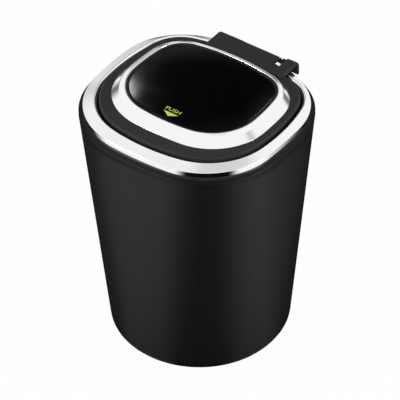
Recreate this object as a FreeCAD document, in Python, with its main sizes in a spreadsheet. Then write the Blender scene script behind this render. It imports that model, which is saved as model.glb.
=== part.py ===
import FreeCAD, Part
import math
import os
import re
import Sketcher

# Car ashtray that stands in a cup holder. Origin at the middle of the foot, Z up, front towards -Y.

doc = FreeCAD.newDocument("car_ashtray")
sheet = doc.addObject("Spreadsheet::Sheet", "sizes")

# Driving dimensions in millimetres. An outline has a half width, a reach to the front and to the back,
# the radius of its bulging sides and of its back, and of its front and back corners.
DRIVING = [
    ("rim_height", 101.5),
    ("foot_x", 33.7), ("foot_front", 34.0), ("foot_back", 34.0),
    ("foot_side_r", 35.6), ("foot_back_r", 35.6),
    ("foot_front_corner_r", 33.4), ("foot_back_corner_r", 33.4),
    ("top_x", 42.5), ("top_front", 40.5), ("top_back", 39.8),
    ("top_side_r", 138.0), ("top_back_r", 59.0),
    ("top_front_corner_r", 32.2), ("top_back_corner_r", 28.4),
    ("cup_wall", 2.0), ("cup_floor", 3.2), ("foot_round", 6.0),
    ("liner_gap", 1.8), ("liner_wall", 0.8), ("liner_drop", 19.5), ("liner_lip", 1.0), ("liner_round", 3.0),
    ("flange", 1.2), ("deck_rise", 0.6), ("deck_gap", 0.3),
    ("skirt_gap", 0.3), ("skirt_wall", 1.6), ("skirt_depth", 11.0),
    ("seal_drop", 4.0), ("seal_height", 2.0), ("seal_depth", 0.8),
    ("ring_height", 3.6), ("ring_step", 1.1), ("ring_draft", 0.5), ("ring_slope", 1.0), ("ring_bevel", 1.0),
    ("mouth_x", 36.3), ("mouth_front", 33.2), ("mouth_back", 32.8),
    ("mouth_side_r", 77.0), ("mouth_back_r", 86.0),
    ("mouth_front_corner_r", 25.8), ("mouth_back_corner_r", 16.6),
    ("lid_gap", 0.6), ("lid_drop", 1.4), ("lid_rise", 1.0), ("lid_edge_r", 0.8),
    ("bezel_x", 32.9), ("bezel_front", 26.6), ("bezel_back", 28.9),
    ("bezel_side_r", 122.0), ("bezel_back_r", 87.0),
    ("bezel_front_corner_r", 24.0), ("bezel_back_corner_r", 19.6),
    ("window_x", 27.7), ("window_front", 21.4), ("window_back", 24.3),
    ("window_side_r", 76.0), ("window_back_r", 90.0),
    ("window_front_corner_r", 19.2), ("window_back_corner_r", 12.0),
    ("bezel_height", 3.45), ("bezel_split", 0.43), ("bezel_top_drop", 0.78), ("bezel_clear", 0.1),
    ("gasket_gap", 0.05), ("gasket_width", 0.9), ("gasket_sink", 0.5),
    ("lens_crown", 1.2), ("lens_dome_r", 220.0), ("lens_edge_r", 0.5),
    ("opening_inset", 1.3), ("trim_wall", 0.8), ("trim_flange", 2.0),
    ("trim_thick", 0.6), ("trim_depth", 6.0), ("trim_fit", 0.05),
    ("plug_gap", 0.6), ("plug_depth", 5.0), ("plug_wall", 1.6), ("plug_floor", 1.2),
    ("plug_seal_out", 0.3), ("plug_seal_in", 0.6), ("plug_seal_height", 1.4), ("plug_seal_rise", 1.0),
    ("shield_inset", 1.0), ("shield_thick", 0.6),
    ("screw_x", 15.0), ("screw_y", 12.0), ("screw_r", 1.1), ("screw_head_r", 2.1), ("screw_head", 1.0),
    ("screw_fit", 0.02), ("screw_grip", 3.0), ("screw_boss_r", 2.4),
    ("hinge_set", 2.2), ("hinge_drop", 5.0), ("pin_r", 0.8), ("pin_gap", 0.05), ("knuckle_r", 1.6),
    ("lug_inner", 9.3), ("lug_width", 3.4), ("knuckle_gap", 0.3), ("eye_width", 2.2),
    ("tab_left", 16.4), ("slit_left", 11.4), ("arm_inner", 14.4), ("arm_outer", 18.8),
    ("leaf_gap", 0.3), ("leaf_thick", 1.7), ("leaf_lap", 5.8), ("leaf_edge_r", 0.4),
    ("slit_depth", 1.3), ("tab_over", 4.4), ("tab_corner_r", 1.2), ("tab_hide", 0.4),
    ("strap_set", 2.2), ("strap_thick", 1.2), ("strap_bend_r", 3.0), ("web_over", 3.7), ("web_lead", 0.4),
    ("web_width", 7.7),
    ("spring_wire_r", 0.25), ("spring_coil_r", 1.25), ("spring_half", 8.4), ("spring_turns", 10.75),
    ("leg_reach", 3.2), ("leg_lean", 26.0), ("leg_length", 3.6), ("leg_gap", 0.15),
    ("latch_y", -26.0), ("slider_x", 3.5), ("slider_y", 2.2), ("slider_gap", 0.3),
    ("slider_drop", 1.3), ("slider_height", 9.1), ("slot_half", 1.25), ("slot_depth", 7.0),
    ("housing_wall", 1.7), ("housing_depth", 14.6), ("housing_floor", 1.2),
    ("ear_length", 5.0), ("ear_thick", 1.5), ("ear_half", 3.0),
    ("latch_screw_r", 0.9), ("latch_screw_grip", 1.2), ("latch_head_r", 1.7), ("latch_head", 1.1),
    ("coil_r", 1.5), ("coil_turns", 4.0),
    ("blade_half", 1.0), ("blade_depth", 3.0), ("blade_length", 7.0),
    ("striker_pad", 3.0), ("striker_thick", 1.0),
]
for row, (alias, number) in enumerate(DRIVING, start=1):
    sheet.set(f"A{row}", alias)
    sheet.set(f"B{row}", str(number))
    sheet.setAlias(f"B{row}", alias)
doc.recompute()

# Heights that several pieces share
RING_SEAT = "(rim_height + flange)"
RING_TOP = "(rim_height + flange + ring_height)"
DECK_TOP = "(rim_height + flange + deck_rise)"
PLATE_BOTTOM = f"({RING_TOP} - lid_drop)"
PLATE_TOP = f"({RING_TOP} + lid_rise)"
BEZEL_TOP = f"({PLATE_TOP} + bezel_height)"
LEAF_BOTTOM = f"({RING_TOP} + leaf_gap)"
PLUG_BOTTOM = f"({PLATE_BOTTOM} - plug_depth)"
LEAF_TOP = f"({LEAF_BOTTOM} + leaf_thick)"
HINGE_Y = "(top_back + hinge_set)"
HINGE_Z = f"({RING_TOP} - hinge_drop)"
LINER_TOP = "(rim_height - liner_drop)"
SLIDER_TOP = f"({DECK_TOP} - slider_drop)"
SLIDER_BOTTOM = f"({SLIDER_TOP} - slider_height)"
HOUSING_BOTTOM = "(rim_height - housing_depth)"
LUG_OUTER = "(lug_inner + lug_width)"
EYE_INNER = f"({LUG_OUTER} + knuckle_gap)"
EYE_OUTER = f"({EYE_INNER} + eye_width)"
LENS_Y = "((window_back - window_front) / 2)"
SIDES = ("x", "front", "back", "side_r", "back_r", "front_corner_r", "back_corner_r")
FOOT_STEPS = 4
TOLERANCE = 0.01
ORIGIN = (-1, 1)


def cells(formula):
    """The formula as an expression, each name in it read from the sheet."""
    return re.sub(r"[a-z][a-z_]+", r"sizes.\g<0>", formula)


def value(formula):
    """What the formula comes to now, for the first guess of a sketch."""
    return float(sheet.evalExpression(cells(formula)))


def bind(thing, prop, formula):
    """Tie one property of an object to the sheet."""
    thing.setExpression(prop, cells(formula))


def body_of(label):
    """An empty body that carries the name of its node."""
    body = doc.addObject("PartDesign::Body", label)
    body.Label = label
    return body


def plane_of(body, role):
    """One of the body's own origin planes."""
    return [item for item in body.Origin.OriginFeatures if item.Role == role][0]


def sketch_on(body, name, plane, level):
    """An empty sketch on an origin plane, moved along the plane's normal to the level."""
    sketch = body.newObject("Sketcher::SketchObject", f"{body.Label}_{name}")
    sketch.AttachmentSupport = [(plane_of(body, plane), "")]
    sketch.MapMode = "FlatFace"
    bind(sketch, "AttachmentOffset.Base.z", level)
    return sketch


def named(prefix):
    """The outline whose sizes stand in the sheet under one prefix."""
    return {side: f"{prefix}_{side}" for side in SIDES}


def inset(outline, amount):
    """The outline drawn parallel to itself, the amount further in."""
    return {side: f"({outline[side]} - ({amount}))" for side in SIDES}


def between(low, high, share):
    """The outline at a share of the way from the low one to the high one."""
    return {side: f"({low[side]} + ({high[side]} - {low[side]}) * ({share}))" for side in SIDES}


def cup_at(level):
    """The cup's outer outline at a height: nearly round at the foot, a soft square at the rim."""
    return between(named("foot"), named("top"), f"({level}) / rim_height")


def meet(centre_a, reach_a, centre_b, reach_b, upward):
    """Where two circles cross on the right-hand side, above or below."""
    gap = centre_b - centre_a
    along = (reach_a ** 2 - reach_b ** 2 + gap.Length ** 2) / (2 * gap.Length)
    across = math.sqrt(reach_a ** 2 - along ** 2)
    unit = gap.normalize()
    turned = FreeCAD.Vector(-unit.y, unit.x, 0)
    spots = [centre_a + unit * along + turned * across * sign for sign in (1, -1)]
    return max(spots, key=lambda spot: spot.y if upward else -spot.y)


def angle(centre, spot):
    """The direction from a centre to a spot."""
    return math.atan2(spot.y - centre.y, spot.x - centre.x)


def hold(sketch, kind, start, end, formula):
    """Tie the distance from one point of a sketch to another to the sheet."""
    number = sketch.addConstraint(Sketcher.Constraint(kind, *start, *end, value(formula)))
    bind(sketch, f"Constraints[{number}]", formula)


def add_outline(sketch, outline):
    """Eight tangent arcs: right, back, left and front side with a corner after each."""
    size = {side: value(outline[side]) for side in SIDES}
    right = FreeCAD.Vector(size["x"] - size["side_r"], 0, 0)
    back = FreeCAD.Vector(0, size["back"] - size["back_r"], 0)
    front = FreeCAD.Vector(0, size["side_r"] - size["front"], 0)
    rear = size["back_corner_r"]
    side_reach = size["side_r"] - size["front_corner_r"]
    upper = meet(right, size["side_r"] - rear, back, size["back_r"] - rear, True)
    lower = meet(right, side_reach, front, side_reach, False)
    turns = [angle(right, lower), angle(right, upper), angle(back, upper)]
    end = angle(front, lower)
    left = [FreeCAD.Vector(-spot.x, spot.y, 0) for spot in (upper, right, lower)]
    turns += [math.pi - turns[2], math.pi - turns[1], math.pi - turns[0], math.pi - end, 2 * math.pi + end]
    turns.append(2 * math.pi + turns[0])
    centres = [right, upper, back, left[0], left[1], left[2], front, lower]
    radii = [size["side_r"], rear, size["back_r"], rear] + [size["side_r"], size["front_corner_r"]] * 2
    first = sketch.GeometryCount
    for index, centre in enumerate(centres):
        circle = Part.Circle(centre, FreeCAD.Vector(0, 0, 1), radii[index])
        sketch.addGeometry(Part.ArcOfCircle(circle, turns[index], turns[index + 1]), False)
    for index in range(8):
        after = first + (index + 1) % 8
        sketch.addConstraint(Sketcher.Constraint("Tangent", first + index, 2, after, 1))
    for index, axis in ((0, -1), (4, -1), (2, -2), (6, -2)):
        sketch.addConstraint(Sketcher.Constraint("PointOnObject", first + index, 3, axis))
    for index, other in ((0, 4), (0, 6), (1, 3), (5, 7)):
        sketch.addConstraint(Sketcher.Constraint("Equal", first + index, first + other))
    for index, side in ((0, "side_r"), (1, "back_corner_r"), (2, "back_r"), (5, "front_corner_r")):
        number = sketch.addConstraint(Sketcher.Constraint("Radius", first + index, size[side]))
        bind(sketch, f"Constraints[{number}]", outline[side])
    set_back = f"{outline['side_r']} - {outline['x']}"
    rise = f"{outline['side_r']} - {outline['front']}"
    sink = f"{outline['back_r']} - {outline['back']}"
    hold(sketch, "DistanceX", (first, 3), ORIGIN, set_back)
    hold(sketch, "DistanceX", ORIGIN, (first + 4, 3), set_back)
    hold(sketch, "DistanceY", (first + 2, 3), ORIGIN, sink)
    hold(sketch, "DistanceY", ORIGIN, (first + 6, 3), rise)


def outline_sketch(body, name, level, *outlines):
    """A level sketch of one outline, or of two with the ring between them."""
    sketch = sketch_on(body, name, "XY_Plane", level)
    for outline in outlines:
        add_outline(sketch, outline)
    return sketch


def hold_point(sketch, item, point, across, along):
    """Tie one point of a sketch to its place from the origin, whichever side of it that lies."""
    for kind, formula in (("DistanceX", across), ("DistanceY", along)):
        if value(formula) < 0:
            hold(sketch, kind, (item, point), ORIGIN, f"-({formula})")
        else:
            hold(sketch, kind, ORIGIN, (item, point), formula)


def add_box(sketch, left, right, near, far):
    """A rectangle between four formulas."""
    corners = [(left, near), (right, near), (right, far), (left, far)]
    spots = [FreeCAD.Vector(value(across), value(along), 0) for across, along in corners]
    first = sketch.GeometryCount
    for index in range(4):
        sketch.addGeometry(Part.LineSegment(spots[index], spots[(index + 1) % 4]), False)
    for index in range(4):
        sketch.addConstraint(Sketcher.Constraint("Coincident", first + index, 2, first + (index + 1) % 4, 1))
    for index, kind in enumerate(("Horizontal", "Vertical", "Horizontal", "Vertical")):
        sketch.addConstraint(Sketcher.Constraint(kind, first + index))
    hold_point(sketch, first, 1, left, near)
    hold_point(sketch, first + 2, 1, right, far)


def add_polygon(sketch, corners):
    """A closed line of straight runs between corners given as formulas."""
    spots = [FreeCAD.Vector(value(across), value(along), 0) for across, along in corners]
    count = len(corners)
    for index in range(count):
        sketch.addGeometry(Part.LineSegment(spots[index], spots[(index + 1) % count]), False)
    for index in range(count):
        sketch.addConstraint(Sketcher.Constraint("Coincident", index, 2, (index + 1) % count, 1))
    for index, (across, along) in enumerate(corners):
        hold_point(sketch, index, 1, across, along)


def add_disc(sketch, across, along, radius):
    """A circle whose centre and radius are formulas."""
    centre = FreeCAD.Vector(value(across), value(along), 0)
    item = sketch.addGeometry(Part.Circle(centre, FreeCAD.Vector(0, 0, 1), value(radius)), False)
    number = sketch.addConstraint(Sketcher.Constraint("Radius", item, value(radius)))
    bind(sketch, f"Constraints[{number}]", radius)
    hold_point(sketch, item, 3, across, along)


def box_sketch(body, name, level, left, right, near, far):
    """A level sketch of one rectangle."""
    sketch = sketch_on(body, name, "XY_Plane", level)
    add_box(sketch, left, right, near, far)
    return sketch


def side_disc(body, name, level, radius):
    """A circle round the hinge axis, drawn across it at a distance to the right."""
    sketch = sketch_on(body, name, "YZ_Plane", level)
    add_disc(sketch, HINGE_Y, HINGE_Z, radius)
    return sketch


def feature(kind, body, sketch, length, back=False, midplane=False):
    """A Pad or Pocket of a sketch."""
    made = body.newObject(f"PartDesign::{kind}", f"{sketch.Name}_{kind.lower()}")
    made.Profile = sketch
    bind(made, "Length", length)
    made.Reversed = back
    made.Midplane = midplane
    return made


def pad(body, sketch, length, back=False):
    """Add material from a sketch, along its normal or back from it."""
    return feature("Pad", body, sketch, length, back)


def pocket(body, sketch, length, back=False, midplane=False):
    """Cut from a sketch, against its normal unless back is set."""
    return feature("Pocket", body, sketch, length, back, midplane)


def loft(body, name, sketches, cut=False):
    """A ruled skin through level outlines, added or cut away."""
    kind = "SubtractiveLoft" if cut else "AdditiveLoft"
    made = body.newObject(f"PartDesign::{kind}", f"{body.Label}_{name}")
    made.Profile = sketches[0]
    made.Sections = sketches[1:]
    made.Ruled = True
    return made


def rounded_foot(body, level, outline_at, radius):
    """A foot whose edge is a quarter circle in section, skinned smoothly through level outlines."""
    sketches = []
    for step in range(FOOT_STEPS + 1):
        turn = math.pi / 2 * step / FOOT_STEPS
        height = f"({level} + {radius} * {1 - math.cos(turn):.6f})"
        outline = inset(outline_at(height), f"{radius} * {1 - math.sin(turn):.6f}")
        sketches.append(outline_sketch(body, f"foot_{step}", height, outline))
    made = loft(body, "foot", sketches)
    made.Ruled = False
    return sketches[-1]


def round_edges(body, name, base, wanted, radius):
    """Fillet the edges of a feature that pass a test."""
    doc.recompute()
    edges = [f"Edge{number}" for number, edge in enumerate(base.Shape.Edges, start=1) if wanted(edge)]
    made = body.newObject("PartDesign::Fillet", f"{body.Label}_{name}")
    made.Base = (base, edges)
    bind(made, "Radius", radius)
    return made


def lies_at(formula):
    """A test for edges that lie flat at one height."""
    level = value(formula)
    return lambda edge: max(abs(edge.BoundBox.ZMin - level), abs(edge.BoundBox.ZMax - level)) < TOLERANCE


def mirror_left(body, features):
    """Repeat features on the left-hand side."""
    made = body.newObject("PartDesign::Mirrored", f"{body.Label}_left")
    made.Originals = features
    made.MirrorPlane = (plane_of(body, "YZ_Plane"), [""])
    body.Tip = made
    return made


def screw_places():
    """The four screws of the lid, about the middle of its window."""
    return [(f"screw_x * {i}", f"{LENS_Y} + screw_y * {j}") for i in (-1, 1) for j in (-1, 1)]


def screw_group(label, places, radius, length, head_radius, head, seat):
    """Pan-head screws driven up from below, their heads under the seat, as one group of solids."""
    screws = []
    for number, (across, along) in enumerate(places):
        shank = doc.addObject("Part::Cylinder", f"{label}_shank_{number}")
        bind(shank, "Radius", radius)
        bind(shank, "Height", length)
        bind(shank, "Placement.Base.z", seat)
        top = doc.addObject("Part::Cone", f"{label}_head_{number}")
        bind(top, "Radius1", f"{head_radius} - {head} / 2")
        bind(top, "Radius2", head_radius)
        bind(top, "Height", head)
        bind(top, "Placement.Base.z", f"{seat} - {head}")
        for piece in (shank, top):
            bind(piece, "Placement.Base.x", across)
            bind(piece, "Placement.Base.y", along)
        screw = doc.addObject("Part::Fuse", f"{label}_{number}")
        screw.Base = shank
        screw.Tool = top
        screws.append(screw)
    group = doc.addObject("Part::Compound", label)
    group.Label = label
    group.Links = screws
    return group


def add_screw_holes(sketch, radius):
    """The four holes of the lid's screws."""
    for across, along in screw_places():
        add_disc(sketch, across, along, radius)


nodes = []

# Cup shell: one moulding, drawn up from a nearly round foot to a soft square rim
cup = body_of("cup_shell")
foot = rounded_foot(cup, "0 * rim_height", cup_at, "foot_round")
rim = outline_sketch(cup, "rim", "rim_height", named("top"))
loft(cup, "skin", [foot, rim])
floor_line = outline_sketch(cup, "floor", "cup_floor", inset(cup_at("cup_floor"), "cup_wall"))
bore_line = outline_sketch(cup, "bore", "rim_height", inset(named("top"), "cup_wall"))
loft(cup, "inside", [floor_line, bore_line], cut=True)
nodes.append(cup)

# Ash liner: a drawn steel tub with a rolled lip that stands on the cup's floor
liner = body_of("ash_liner")
LINER_IN = "cup_wall + liner_gap"
low_line = rounded_foot(liner, "cup_floor", lambda level: inset(cup_at(level), LINER_IN), "liner_round")
high_line = outline_sketch(liner, "high", LINER_TOP, inset(cup_at(LINER_TOP), LINER_IN))
loft(liner, "skin", [low_line, high_line])
lip_line = outline_sketch(liner, "lip", LINER_TOP, inset(cup_at(LINER_TOP), f"{LINER_IN} - liner_lip"))
pad(liner, lip_line, "liner_wall", back=True)
LINER_FLOOR = "(cup_floor + liner_wall)"
LINER_BORE = f"{LINER_IN} + liner_wall"
ASH_MID = f"({LINER_FLOOR} + liner_round)"
ash_floor = inset(cup_at(LINER_FLOOR), f"{LINER_BORE} + liner_round / 2")
ash_low = outline_sketch(liner, "ash_low", LINER_FLOOR, ash_floor)
ash_mid = outline_sketch(liner, "ash_mid", ASH_MID, inset(cup_at(ASH_MID), LINER_BORE))
ash_high = outline_sketch(liner, "ash_high", LINER_TOP, inset(cup_at(LINER_TOP), LINER_BORE))
loft(liner, "inside", [ash_low, ash_mid, ash_high], cut=True)
nodes.append(liner)

# Collar: plugs into the cup, carries the ring, the lid's hinge lugs and the latch
collar = body_of("collar")
pad(collar, outline_sketch(collar, "flange", "rim_height", named("top")), "flange")
pad(collar, outline_sketch(collar, "deck", RING_SEAT, inset(named("mouth"), "deck_gap")), "deck_rise")
SKIRT_IN = "cup_wall + skirt_gap"
SKIRT_LOW = "(rim_height - skirt_depth)"
skirt_top = outline_sketch(collar, "skirt_top", "rim_height", inset(named("top"), SKIRT_IN))
skirt_low = outline_sketch(collar, "skirt_low", SKIRT_LOW, inset(cup_at(SKIRT_LOW), SKIRT_IN))
loft(collar, "skirt", [skirt_top, skirt_low])
hole_top = outline_sketch(collar, "hole_top", "rim_height", inset(named("top"), f"{SKIRT_IN} + skirt_wall"))
hole_low = outline_sketch(collar, "hole_low", SKIRT_LOW, inset(cup_at(SKIRT_LOW), f"{SKIRT_IN} + skirt_wall"))
loft(collar, "skirt_hole", [hole_top, hole_low], cut=True)
SEAL_TOP = "(rim_height - seal_drop)"
seal_skin = inset(cup_at(f"{SEAL_TOP} - seal_height"), SKIRT_IN)
seal_root = inset(seal_skin, "seal_depth")
groove = outline_sketch(collar, "groove", SEAL_TOP, inset(seal_skin, "-seal_depth"), seal_root)
pocket(collar, groove, "seal_height")
opening = inset(named("window"), "opening_inset")
pocket(collar, outline_sketch(collar, "opening", DECK_TOP, opening), "flange + deck_rise")
rebate = outline_sketch(collar, "rebate", DECK_TOP, inset(opening, "-(trim_flange + trim_fit)"))
pocket(collar, rebate, "trim_thick")
SLOT_X = "(slider_x + slider_gap)"
SLOT_NEAR = "(latch_y - slider_y - slider_gap)"
SLOT_FAR = "(latch_y + slider_y + slider_gap)"
pocket(collar, box_sketch(collar, "latch_slot", DECK_TOP, f"-{SLOT_X}", SLOT_X, SLOT_NEAR, SLOT_FAR),
       "flange + deck_rise")
lug_web = box_sketch(collar, "lug_web", "rim_height", "lug_inner", LUG_OUTER, "mouth_back", HINGE_Y)
web = pad(collar, lug_web, "flange")
lug = pad(collar, side_disc(collar, "lug", "lug_inner", "knuckle_r"), "lug_width")
mirror_left(collar, [web, lug])
pin_bore = side_disc(collar, "pin_bore", "0 * lug_inner", "pin_r + pin_gap")
pocket(collar, pin_bore, f"2 * {EYE_OUTER}", midplane=True)
EAR_SCREW_X = "(slider_x + slider_gap + housing_wall + ear_length / 2)"
LEG_FRONT = f"({HINGE_Y} - leg_reach - leg_gap)"
leg_seat = box_sketch(collar, "leg_seat", RING_SEAT, "spring_half - 2 * spring_wire_r - leg_gap",
                      "spring_half + leg_gap", LEG_FRONT, HINGE_Y)
pocket(collar, leg_seat, "hinge_drop - ring_height - spring_coil_r + spring_wire_r")
pilots = sketch_on(collar, "pilots", "XY_Plane", "rim_height")
for sign in (-1, 1):
    add_disc(pilots, f"{EAR_SCREW_X} * {sign}", "latch_y", "latch_screw_r + screw_fit")
pocket(collar, pilots, "latch_screw_grip", back=True)
nodes.append(collar)

# Collar seal: a silicone band in the skirt's groove
seal = body_of("collar_seal")
pad(seal, outline_sketch(seal, "band", SEAL_TOP, seal_skin, seal_root), "seal_height", back=True)
nodes.append(seal)

# Rim ring: chromed trim with a drafted wall, a top that falls outwards and a bevelled mouth
ring = body_of("rim_ring")
ring_foot = inset(named("top"), "ring_step")
ring_edge = inset(ring_foot, "ring_draft")
ring_crest = inset(named("mouth"), "-ring_bevel")
foot_line = outline_sketch(ring, "foot", RING_SEAT, ring_foot)
edge_line = outline_sketch(ring, "edge", f"{RING_TOP} - ring_slope", ring_edge)
crest_line = outline_sketch(ring, "crest", RING_TOP, ring_crest)
loft(ring, "wall", [foot_line, edge_line])
loft(ring, "top", [edge_line, crest_line])
throat = outline_sketch(ring, "throat", RING_TOP, named("mouth"))
pocket(ring, throat, "ring_height")
bevel_low = outline_sketch(ring, "bevel_low", f"{RING_TOP} - ring_bevel", named("mouth"))
loft(ring, "bevel", [bevel_low, crest_line], cut=True)
nodes.append(ring)

# Mouth trim: a folded steel edge that keeps embers off the plastic
trim = body_of("mouth_trim")
trim_skin = inset(opening, "trim_fit")
trim_bore = inset(opening, "trim_wall")
fold = outline_sketch(trim, "fold", DECK_TOP, inset(opening, "-trim_flange"), trim_bore)
pad(trim, fold, "trim_thick", back=True)
pad(trim, outline_sketch(trim, "wall", DECK_TOP, trim_skin, trim_bore), "trim_depth", back=True)
nodes.append(trim)

# Latch housing: a pocket with two ears, screwed up against the deck
housing = body_of("latch_housing")
HOUSE_X = f"({SLOT_X} + housing_wall)"
block = box_sketch(housing, "block", "rim_height", f"-{HOUSE_X}", HOUSE_X,
                   f"{SLOT_NEAR} - housing_wall", f"{SLOT_FAR} + housing_wall")
pad(housing, block, "housing_depth", back=True)
EAR_X = f"({HOUSE_X} + ear_length)"
ears = box_sketch(housing, "ears", "rim_height", f"-{EAR_X}", EAR_X,
                  "latch_y - ear_half", "latch_y + ear_half")
pad(housing, ears, "ear_thick", back=True)
pocket(housing, box_sketch(housing, "bore", "rim_height", f"-{SLOT_X}", SLOT_X, SLOT_NEAR, SLOT_FAR),
       "housing_depth - housing_floor")
ear_holes = sketch_on(housing, "ear_holes", "XY_Plane", "rim_height")
for sign in (-1, 1):
    add_disc(ear_holes, f"{EAR_SCREW_X} * {sign}", "latch_y", "latch_screw_r + screw_fit")
pocket(housing, ear_holes, "ear_thick")
nodes.append(housing)

# Latch screws: two, through the ears into the deck
ear_places = [(f"{EAR_SCREW_X} * {sign}", "latch_y") for sign in (-1, 1)]
nodes.append(screw_group("latch_screws", ear_places, "latch_screw_r", "ear_thick + latch_screw_grip",
                         "latch_head_r", "latch_head", "rim_height - ear_thick"))

# Latch slider: a two-jawed fork that takes the lid's striker and gives way when the lid is pushed
slider = body_of("latch_slider")
fork = box_sketch(slider, "fork", SLIDER_BOTTOM, "-slider_x", "slider_x",
                  "latch_y - slider_y", "latch_y + slider_y")
pad(slider, fork, "slider_height")
jaw_gap = box_sketch(slider, "jaw_gap", SLIDER_TOP, "-slot_half", "slot_half",
                     "latch_y - slider_y - slider_gap", "latch_y + slider_y + slider_gap")
pocket(slider, jaw_gap, "slot_depth")
nodes.append(slider)


def coil(body, radius, height, turns):
    """A round-wire coil along the body's own Z axis, its wire's middle at the radius."""
    wire = sketch_on(body, "wire", "XZ_Plane", f"0 * {radius}")
    add_disc(wire, radius, "spring_wire_r", "spring_wire_r")
    made = body.newObject("PartDesign::AdditiveHelix", f"{body.Label}_coil")
    made.Profile = wire
    made.ReferenceAxis = (wire, ["V_Axis"])
    made.Mode = "height-turns-angle"
    bind(made, "Height", height)
    bind(made, "Turns", turns)
    return made


# Latch spring: stands on the housing's floor and lifts the slider
latch_spring = body_of("latch_spring")
SPRING_FLOOR = f"({HOUSING_BOTTOM} + housing_floor)"
coil(latch_spring, "coil_r", f"{SLIDER_BOTTOM} - {SPRING_FLOOR} - 2 * spring_wire_r", "coil_turns")
bind(latch_spring, "Placement.Base.y", "latch_y")
bind(latch_spring, "Placement.Base.z", SPRING_FLOOR)
nodes.append(latch_spring)

# Hinge pin: one steel rod through the collar's lugs and the lid's two eyes
ALONG_X = FreeCAD.Rotation(FreeCAD.Vector(0, 1, 0), 90)
pin = doc.addObject("Part::Cylinder", "hinge_pin")
pin.Label = "hinge_pin"
pin.Placement = FreeCAD.Placement(FreeCAD.Vector(), ALONG_X)
bind(pin, "Radius", "pin_r")
bind(pin, "Height", f"2 * {EYE_OUTER}")
bind(pin, "Placement.Base.x", f"-{EYE_OUTER}")
bind(pin, "Placement.Base.y", HINGE_Y)
bind(pin, "Placement.Base.z", HINGE_Z)
nodes.append(pin)

# Hinge spring: coil round the pin, one leg in a seat in the collar's flange and one under the lid's leaf
hinge_spring = body_of("hinge_spring")
COIL_LENGTH = "(2 * spring_half - 2 * spring_wire_r)"
coil(hinge_spring, "spring_coil_r", COIL_LENGTH, "spring_turns")
rest_leg = sketch_on(hinge_spring, "rest_leg", "XZ_Plane", "0 * spring_half")
add_disc(rest_leg, "spring_coil_r", "spring_wire_r", "spring_wire_r")
pad(hinge_spring, rest_leg, "leg_reach")
lift_leg = sketch_on(hinge_spring, "lift_leg", "YZ_Plane", "0 * spring_half")
lift_leg.AttachmentOffset = FreeCAD.Placement(FreeCAD.Vector(), FreeCAD.Rotation(FreeCAD.Vector(0, -1, 0), 1))
bind(lift_leg, "AttachmentOffset.Base.x", "-spring_coil_r")
bind(lift_leg, "AttachmentOffset.Base.y", f"{COIL_LENGTH} + spring_wire_r")
bind(lift_leg, "AttachmentOffset.Rotation.Angle", "leg_lean")
add_disc(lift_leg, "0 * leg_lean", "0 * leg_lean", "spring_wire_r")
pad(hinge_spring, lift_leg, "leg_length")
BACK_ALONG_X = FreeCAD.Rotation(FreeCAD.Vector(0, 1, 0), -90)
hinge_spring.Placement = FreeCAD.Placement(FreeCAD.Vector(), BACK_ALONG_X)
bind(hinge_spring, "Placement.Base.x", "spring_half")
bind(hinge_spring, "Placement.Base.y", HINGE_Y)
bind(hinge_spring, "Placement.Base.z", HINGE_Z)
nodes.append(hinge_spring)

# Lid plate: the moulded lid with its hinge leaf, a wide tab and a narrow arm with a slit between
plate = body_of("lid_plate")
plate_line = inset(named("mouth"), "lid_gap")
slab = pad(plate, outline_sketch(plate, "slab", PLATE_BOTTOM, plate_line), "lid_drop + lid_rise")
round_edges(plate, "edge", slab, lies_at(PLATE_TOP), "lid_edge_r")
TAB_BACK = "(mouth_back + tab_over)"
SLIT_FRONT = "(mouth_back - slit_depth)"
LEAF_FRONT = "(mouth_back - leaf_lap)"
STRAP_BACK = f"({HINGE_Y} - strap_set)"
STRAP_FRONT = f"({STRAP_BACK} - strap_thick)"
STRAP_FOOT = f"({HINGE_Z} + strap_thick / 2)"
leaf_line = sketch_on(plate, "leaf", "XY_Plane", LEAF_BOTTOM)
add_polygon(leaf_line, [
    ("-tab_left", LEAF_FRONT), ("arm_outer", LEAF_FRONT),
    ("arm_outer", STRAP_BACK), ("arm_inner", STRAP_BACK), ("arm_inner", SLIT_FRONT),
    ("slit_left", SLIT_FRONT), ("slit_left", TAB_BACK), ("-tab_left", TAB_BACK)])
leaf = pad(plate, leaf_line, "leaf_thick")
tab_x = value("-tab_left")
tab_y = value(TAB_BACK)
round_edges(plate, "tab_corner", leaf, lambda edge: edge.BoundBox.XMax < tab_x + TOLERANCE
            and edge.BoundBox.YMin > tab_y - TOLERANCE, "tab_corner_r")
strap_line = box_sketch(plate, "strap", LEAF_TOP, "arm_inner", "arm_outer", STRAP_FRONT, STRAP_BACK)
strap = pad(plate, strap_line, f"{LEAF_TOP} - {STRAP_FOOT}", back=True)
bend_y = value(STRAP_BACK)
leaf_z = value(LEAF_TOP)
bend = round_edges(plate, "bend", strap, lambda edge: edge.BoundBox.YMin > bend_y - TOLERANCE
                   and edge.BoundBox.ZMin > leaf_z - TOLERANCE, "strap_bend_r")
leaf_y = value(LEAF_FRONT)
round_edges(plate, "leaf_edge", bend, lambda edge: edge.BoundBox.ZMin > leaf_z - TOLERANCE
            and edge.BoundBox.YMax > leaf_y + TOLERANCE, "leaf_edge_r")
heel_line = box_sketch(plate, "heel", STRAP_FOOT, EYE_INNER, EYE_OUTER, STRAP_FRONT, HINGE_Y)
heel = pad(plate, heel_line, "knuckle_r - strap_thick / 2")
eye = pad(plate, side_disc(plate, "eye", EYE_INNER, "knuckle_r"), "eye_width")
mirror_left(plate, [heel, eye])
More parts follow.
